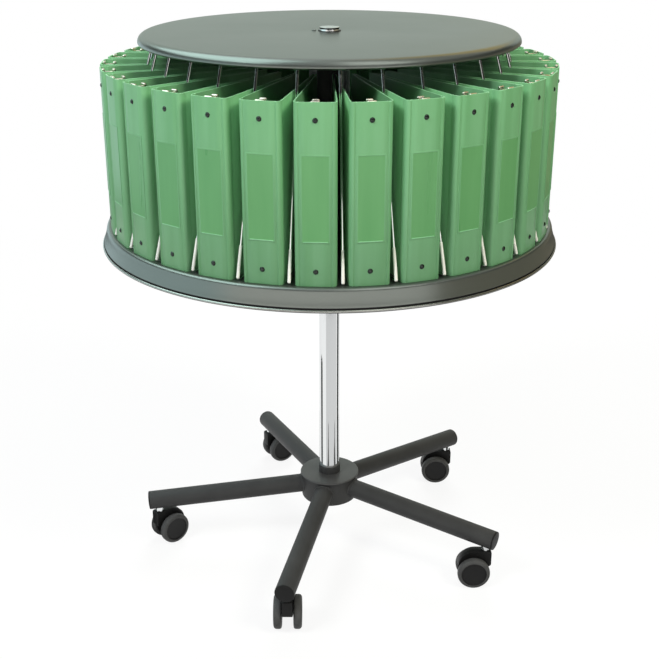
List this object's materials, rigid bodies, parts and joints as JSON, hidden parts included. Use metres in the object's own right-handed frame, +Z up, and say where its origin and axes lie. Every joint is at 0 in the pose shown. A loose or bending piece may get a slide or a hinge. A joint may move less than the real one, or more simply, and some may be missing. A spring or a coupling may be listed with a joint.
{
  "type": "rotary filing cabinet",
  "caption": "Mobile rotary filing carousel: a flanged disc full of upright ring binders between wire dividers, a smaller top disc, a chrome column and a star base on twin-wheel castors.",
  "frame": {"origin": "on the floor, on the axis of the column", "axes": "+Z up along the column, -Y towards the front of the object"},
  "size_m": [0.937, 0.937, 1.1541],
  "materials": {
    "charcoal_powder_coat": "fine textured powder coat, satin",
    "disc_lacquer": "smooth satin lacquer, dark grey",
    "bright_chrome": "polished chrome plate",
    "zinc_steel": "zinc plated",
    "black_nylon": "moulded nylon, satin",
    "castor_tread": "moulded wheel with a grey polyurethane tread",
    "white_bush": "plain acetal",
    "green_board": "embossed green polypropylene over board"
  },
  "bodies": {
    "base": {"base_hub": "charcoal_powder_coat", "hub_collar": "charcoal_powder_coat", "column_tube": "bright_chrome", "spindle": "bright_chrome", "thrust_collar": "zinc_steel", "thrust_bearing": "zinc_steel", "base_arm_1": "charcoal_powder_coat", "base_arm_2": "charcoal_powder_coat", "base_arm_3": "charcoal_powder_coat", "base_arm_4": "charcoal_powder_coat", "base_arm_5": "charcoal_powder_coat", "arm_end_caps": "black_nylon", "castor_sockets": "bright_chrome"},
    "carousel": {"bottom_disc": "disc_lacquer", "top_disc": "disc_lacquer", "rotor_sleeve": "charcoal_powder_coat", "sleeve_bushes": "white_bush", "slotted_straps": "zinc_steel", "disc_screws": "zinc_steel", "divider_wires": "bright_chrome"},
    "castor_1": {"castor_frame_1": "black_nylon"},
    "wheels_1": {"castor_wheels_1": "castor_tread"},
    "castor_2": {"castor_frame_2": "black_nylon"},
    "wheels_2": {"castor_wheels_2": "castor_tread"},
    "castor_3": {"castor_frame_3": "black_nylon"},
    "wheels_3": {"castor_wheels_3": "castor_tread"},
    "castor_4": {"castor_frame_4": "black_nylon"},
    "wheels_4": {"castor_wheels_4": "castor_tread"},
    "castor_5": {"castor_frame_5": "black_nylon"},
    "wheels_5": {"castor_wheels_5": "castor_tread"},
    "filed_binder_01": {"binder_01": "green_board"},
    "filed_binder_02": {"binder_02": "green_board"},
    "filed_binder_03": {"binder_03": "green_board"},
    "filed_binder_04": {"binder_04": "green_board"},
    "filed_binder_05": {"binder_05": "green_board"},
    "filed_binder_06": {"binder_06": "green_board"},
    "filed_binder_07": {"binder_07": "green_board"},
    "filed_binder_08": {"binder_08": "green_board"},
    "filed_binder_09": {"binder_09": "green_board"},
    "filed_binder_10": {"binder_10": "green_board"},
    "filed_binder_11": {"binder_11": "green_board"},
    "filed_binder_12": {"binder_12": "green_board"},
    "filed_binder_13": {"binder_13": "green_board"},
    "filed_binder_14": {"binder_14": "green_board"},
    "filed_binder_15": {"binder_15": "green_board"},
    "filed_binder_16": {"binder_16": "green_board"},
    "filed_binder_17": {"binder_17": "green_board"},
    "filed_binder_18": {"binder_18": "green_board"},
    "filed_binder_19": {"binder_19": "green_board"},
    "filed_binder_20": {"binder_20": "green_board"},
    "filed_binder_21": {"binder_21": "green_board"},
    "filed_binder_22": {"binder_22": "green_board"},
    "filed_binder_23": {"binder_23": "green_board"},
    "filed_binder_24": {"binder_24": "green_board"},
    "filed_binder_25": {"binder_25": "green_board"},
    "filed_binder_26": {"binder_26": "green_board"},
    "filed_binder_27": {"binder_27": "green_board"},
    "filed_binder_28": {"binder_28": "green_board"},
    "filed_binder_29": {"binder_29": "green_board"},
    "filed_binder_30": {"binder_30": "green_board"}
  },
  "joints": [
    {"name": "carousel_spin", "type": "hinge", "parent": "base", "child": "carousel", "pos_m": [0, 0, 0.753], "axis": [0, 0, 1], "continuous": true},
    {"name": "castor_swivel_1", "type": "hinge", "parent": "base", "child": "castor_1", "pos_m": [-0.08508, -0.38061, 0.082], "axis": [0, 0, 1], "continuous": true},
    {"name": "castor_roll_1", "type": "hinge", "parent": "castor_1", "child": "wheels_1", "pos_m": [-0.08508, -0.35561, 0.035], "axis": [-1, 0, 0], "continuous": true},
    {"name": "castor_swivel_2", "type": "hinge", "parent": "base", "child": "castor_2", "pos_m": [0.33569, -0.19853, 0.082], "axis": [0, 0, 1], "continuous": true},
    {"name": "castor_roll_2", "type": "hinge", "parent": "castor_2", "child": "wheels_2", "pos_m": [0.31069, -0.19853, 0.035], "axis": [0, -1, 0], "continuous": true},
    {"name": "castor_swivel_3", "type": "hinge", "parent": "base", "child": "castor_3", "pos_m": [0.29254, 0.25791, 0.082], "axis": [0, 0, 1], "continuous": true},
    {"name": "castor_roll_3", "type": "hinge", "parent": "castor_3", "child": "wheels_3", "pos_m": [0.26754, 0.25791, 0.035], "axis": [0, -1, 0], "continuous": true},
    {"name": "castor_swivel_4", "type": "hinge", "parent": "base", "child": "castor_4", "pos_m": [-0.15489, 0.35792, 0.082], "axis": [0, 0, 1], "continuous": true},
    {"name": "castor_roll_4", "type": "hinge", "parent": "castor_4", "child": "wheels_4", "pos_m": [-0.13324, 0.37042, 0.035], "axis": [-0.5, 0.866, 0], "continuous": true},
    {"name": "castor_swivel_5", "type": "hinge", "parent": "base", "child": "castor_5", "pos_m": [-0.38827, -0.0367, 0.082], "axis": [0, 0, 1], "continuous": true},
    {"name": "castor_roll_5", "type": "hinge", "parent": "castor_5", "child": "wheels_5", "pos_m": [-0.36912, -0.02063, 0.035], "axis": [-0.6428, 0.766, 0], "continuous": true},
    {"name": "binder_pull_01", "type": "slide", "parent": "carousel", "child": "filed_binder_01", "axis": [0.1564, -0.9877, 0], "range_m": [0, 0.3]},
    {"name": "binder_pull_02", "type": "slide", "parent": "carousel", "child": "filed_binder_02", "axis": [0.3584, -0.9336, 0], "range_m": [0, 0.3]},
    {"name": "binder_pull_03", "type": "slide", "parent": "carousel", "child": "filed_binder_03", "axis": [0.5446, -0.8387, 0], "range_m": [0, 0.3]},
    {"name": "binder_pull_04", "type": "slide", "parent": "carousel", "child": "filed_binder_04", "axis": [0.7071, -0.7071, 0], "range_m": [0, 0.3]},
    {"name": "binder_pull_05", "type": "slide", "parent": "carousel", "child": "filed_binder_05", "axis": [0.8387, -0.5446, 0], "range_m": [0, 0.3]},
    {"name": "binder_pull_06", "type": "slide", "parent": "carousel", "child": "filed_binder_06", "axis": [0.9336, -0.3584, 0], "range_m": [0, 0.3]},
    {"name": "binder_pull_07", "type": "slide", "parent": "carousel", "child": "filed_binder_07", "axis": [0.9877, -0.1564, 0], "range_m": [0, 0.3]},
    {"name": "binder_pull_08", "type": "slide", "parent": "carousel", "child": "filed_binder_08", "axis": [0.9986, 0.0523, 0], "range_m": [0, 0.3]},
    {"name": "binder_pull_09", "type": "slide", "parent": "carousel", "child": "filed_binder_09", "axis": [0.9659, 0.2588, 0], "range_m": [0, 0.3]},
    {"name": "binder_pull_10", "type": "slide", "parent": "carousel", "child": "filed_binder_10", "axis": [0.891, 0.454, 0], "range_m": [0, 0.3]},
    {"name": "binder_pull_11", "type": "slide", "parent": "carousel", "child": "filed_binder_11", "axis": [0.7771, 0.6293, 0], "range_m": [0, 0.3]},
    {"name": "binder_pull_12", "type": "slide", "parent": "carousel", "child": "filed_binder_12", "axis": [0.6293, 0.7771, 0], "range_m": [0, 0.3]},
    {"name": "binder_pull_13", "type": "slide", "parent": "carousel", "child": "filed_binder_13", "axis": [0.454, 0.891, 0], "range_m": [0, 0.3]},
    {"name": "binder_pull_14", "type": "slide", "parent": "carousel", "child": "filed_binder_14", "axis": [0.2588, 0.9659, 0], "range_m": [0, 0.3]},
    {"name": "binder_pull_15", "type": "slide", "parent": "carousel", "child": "filed_binder_15", "axis": [0.0523, 0.9986, 0], "range_m": [0, 0.3]},
    {"name": "binder_pull_16", "type": "slide", "parent": "carousel", "child": "filed_binder_16", "axis": [-0.1564, 0.9877, 0], "range_m": [0, 0.3]},
    {"name": "binder_pull_17", "type": "slide", "parent": "carousel", "child": "filed_binder_17", "axis": [-0.3584, 0.9336, 0], "range_m": [0, 0.3]},
    {"name": "binder_pull_18", "type": "slide", "parent": "carousel", "child": "filed_binder_18", "axis": [-0.5446, 0.8387, 0], "range_m": [0, 0.3]},
    {"name": "binder_pull_19", "type": "slide", "parent": "carousel", "child": "filed_binder_19", "axis": [-0.7071, 0.7071, 0], "range_m": [0, 0.3]},
    {"name": "binder_pull_20", "type": "slide", "parent": "carousel", "child": "filed_binder_20", "axis": [-0.8387, 0.5446, 0], "range_m": [0, 0.3]},
    {"name": "binder_pull_21", "type": "slide", "parent": "carousel", "child": "filed_binder_21", "axis": [-0.9336, 0.3584, 0], "range_m": [0, 0.3]},
    {"name": "binder_pull_22", "type": "slide", "parent": "carousel", "child": "filed_binder_22", "axis": [-0.9877, 0.1564, 0], "range_m": [0, 0.3]},
    {"name": "binder_pull_23", "type": "slide", "parent": "carousel", "child": "filed_binder_23", "axis": [-0.9986, -0.0523, 0], "range_m": [0, 0.3]},
    {"name": "binder_pull_24", "type": "slide", "parent": "carousel", "child": "filed_binder_24", "axis": [-0.9659, -0.2588, 0], "range_m": [0, 0.3]},
    {"name": "binder_pull_25", "type": "slide", "parent": "carousel", "child": "filed_binder_25", "axis": [-0.891, -0.454, 0], "range_m": [0, 0.3]},
    {"name": "binder_pull_26", "type": "slide", "parent": "carousel", "child": "filed_binder_26", "axis": [-0.7771, -0.6293, 0], "range_m": [0, 0.3]},
    {"name": "binder_pull_27", "type": "slide", "parent": "carousel", "child": "filed_binder_27", "axis": [-0.6293, -0.7771, 0], "range_m": [0, 0.3]},
    {"name": "binder_pull_28", "type": "slide", "parent": "carousel", "child": "filed_binder_28", "axis": [-0.454, -0.891, 0], "range_m": [0, 0.3]},
    {"name": "binder_pull_29", "type": "slide", "parent": "carousel", "child": "filed_binder_29", "axis": [-0.2588, -0.9659, 0], "range_m": [0, 0.3]},
    {"name": "binder_pull_30", "type": "slide", "parent": "carousel", "child": "filed_binder_30", "axis": [-0.0523, -0.9986, 0], "range_m": [0, 0.3]}
  ]
}
